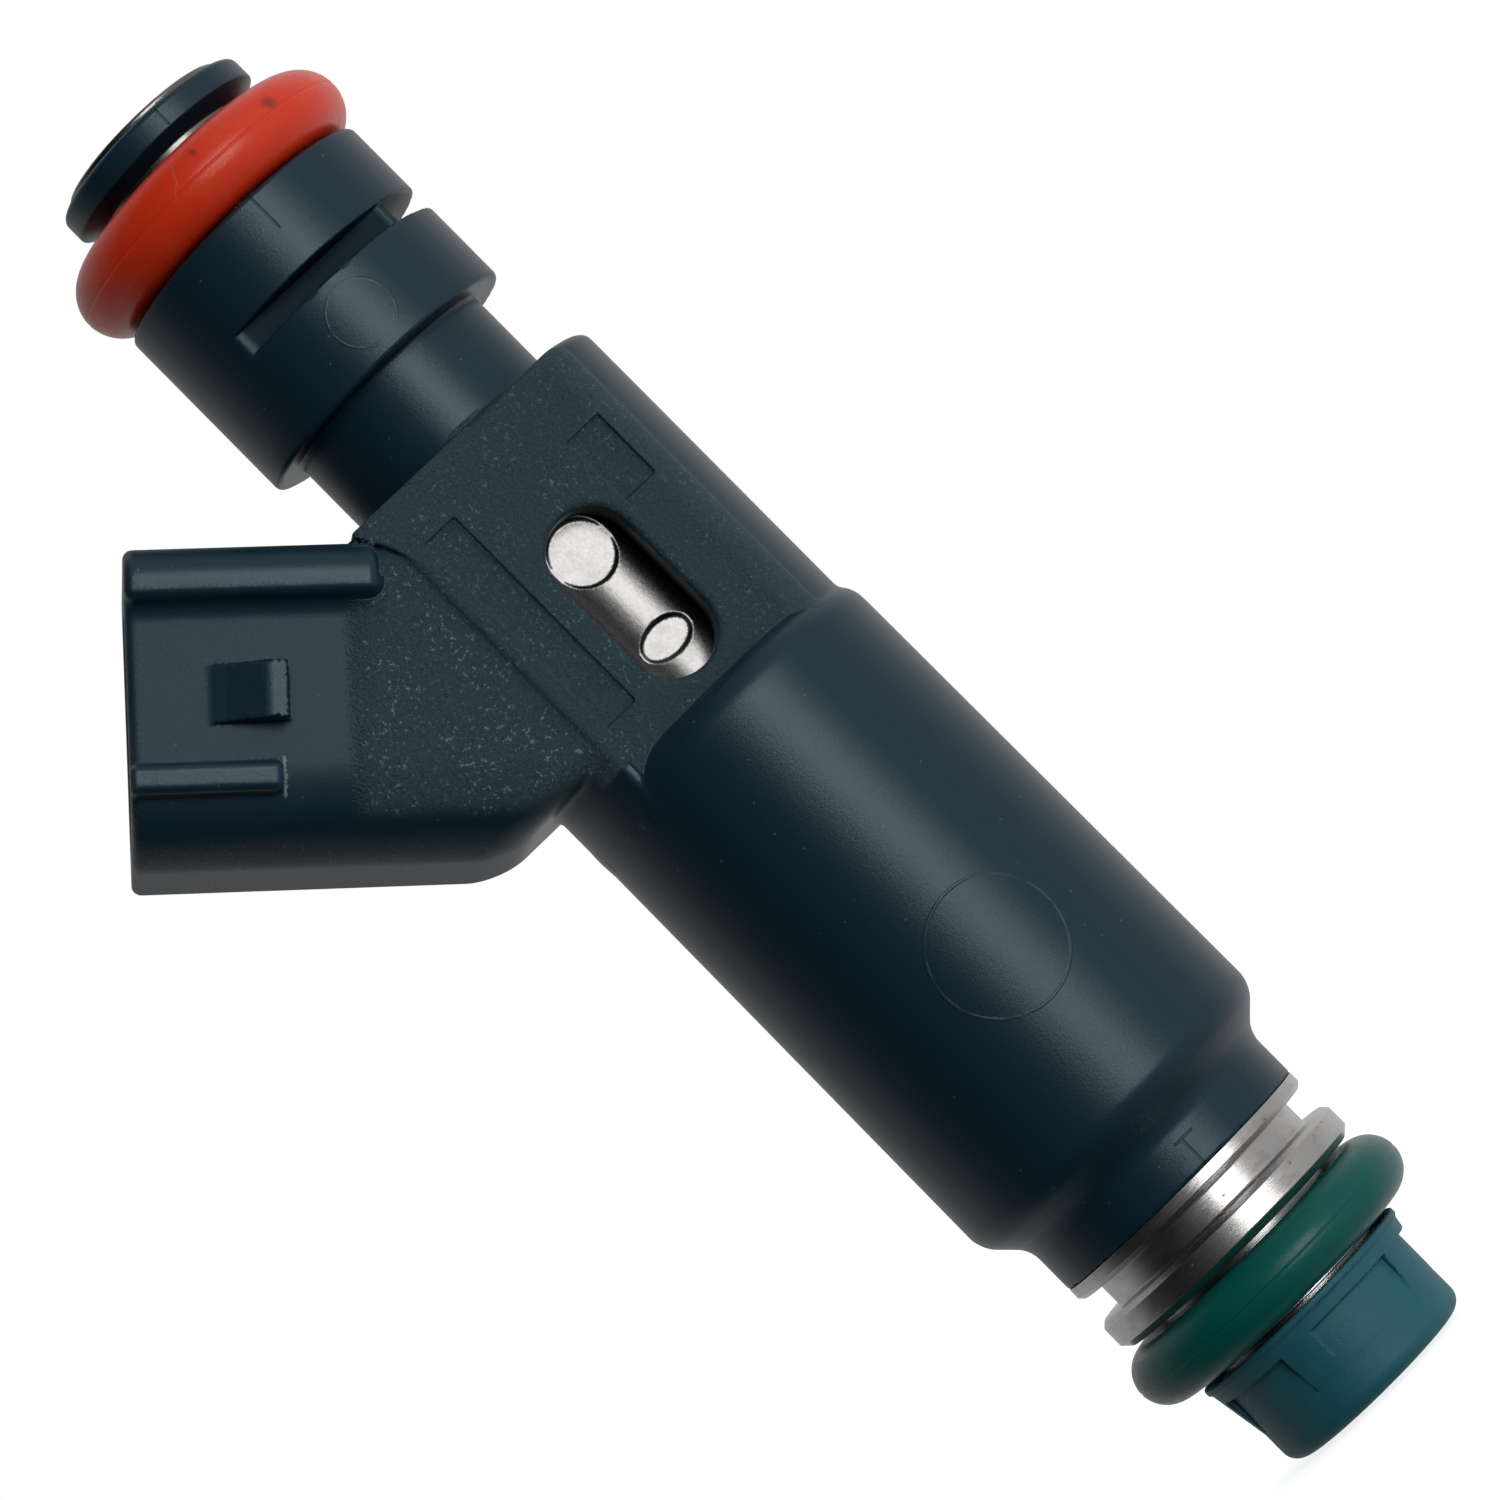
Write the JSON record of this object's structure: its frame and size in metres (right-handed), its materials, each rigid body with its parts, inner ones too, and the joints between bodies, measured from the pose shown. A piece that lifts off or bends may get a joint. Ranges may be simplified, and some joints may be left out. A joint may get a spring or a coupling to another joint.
{
  "type": "fuel injector",
  "caption": "Top-feed solenoid fuel injector: sprung needle valve in an overmoulded housing with an angled two-pin connector, sealed by O-rings at the rail and manifold ends.",
  "frame": {"origin": "centre of the spray outlet's end plane, on the injector's axis", "axes": "+Z along the injector's axis from the spray outlet to the fuel inlet, the electrical connector leans out over -X, and the flat with the window faces -Y"},
  "size_m": [0.0306, 0.016, 0.0742],
  "materials": {
    "housing_plastic": "dark blue-grey glass-filled nylon, satin barrel and fine spark-eroded flats",
    "cap_plastic": "teal moulded plastic, satin",
    "upper_seal_rubber": "orange-red fluoroelastomer, matte",
    "lower_seal_rubber": "green fluoroelastomer, satin",
    "coil_seal_rubber": "black rubber",
    "bright_steel": "turned stainless steel",
    "core_steel": "machined soft-magnetic steel",
    "spring_steel": "drawn spring wire",
    "mesh_steel": "woven fine filter mesh",
    "ball_steel": "polished hardened steel",
    "brass": "turned brass",
    "contact_plating": "tin-plated copper alloy",
    "enamelled_copper": "enamelled magnet wire",
    "pale_plastic": "natural nylon"
  },
  "bodies": {
    "injector_body": {"housing": "housing_plastic", "o_ring_retainer": "housing_plastic", "upper_o_ring": "upper_seal_rubber", "lower_o_ring": "lower_seal_rubber", "nozzle_cap": "cap_plastic", "inlet_tube": "bright_steel", "filter_collar": "brass", "filter_frame": "pale_plastic", "filter_mesh": "mesh_steel", "adjuster_sleeve": "core_steel", "return_spring": "spring_steel", "terminal_upper": "contact_plating", "terminal_lower": "contact_plating", "coil_bobbin": "pale_plastic", "coil_winding": "enamelled_copper", "yoke_shell": "core_steel", "yoke_washer": "core_steel", "isolation_ring": "bright_steel", "coil_seal_upper": "coil_seal_rubber", "coil_seal_lower": "coil_seal_rubber", "valve_holder": "bright_steel", "valve_seat": "core_steel", "lift_shim": "bright_steel", "orifice_plate": "bright_steel", "plate_retainer": "core_steel"},
    "needle": {"armature": "core_steel", "needle_rod": "bright_steel", "valve_ball": "ball_steel"}
  },
  "joints": [
    {"name": "needle_lift", "type": "slide", "parent": "injector_body", "child": "needle", "axis": [0, 0, 1], "range_m": [0, 0.00008], "stiffness_N_per_m": 500, "springref_m": -0.004, "deforming": ["return_spring"]}
  ]
}
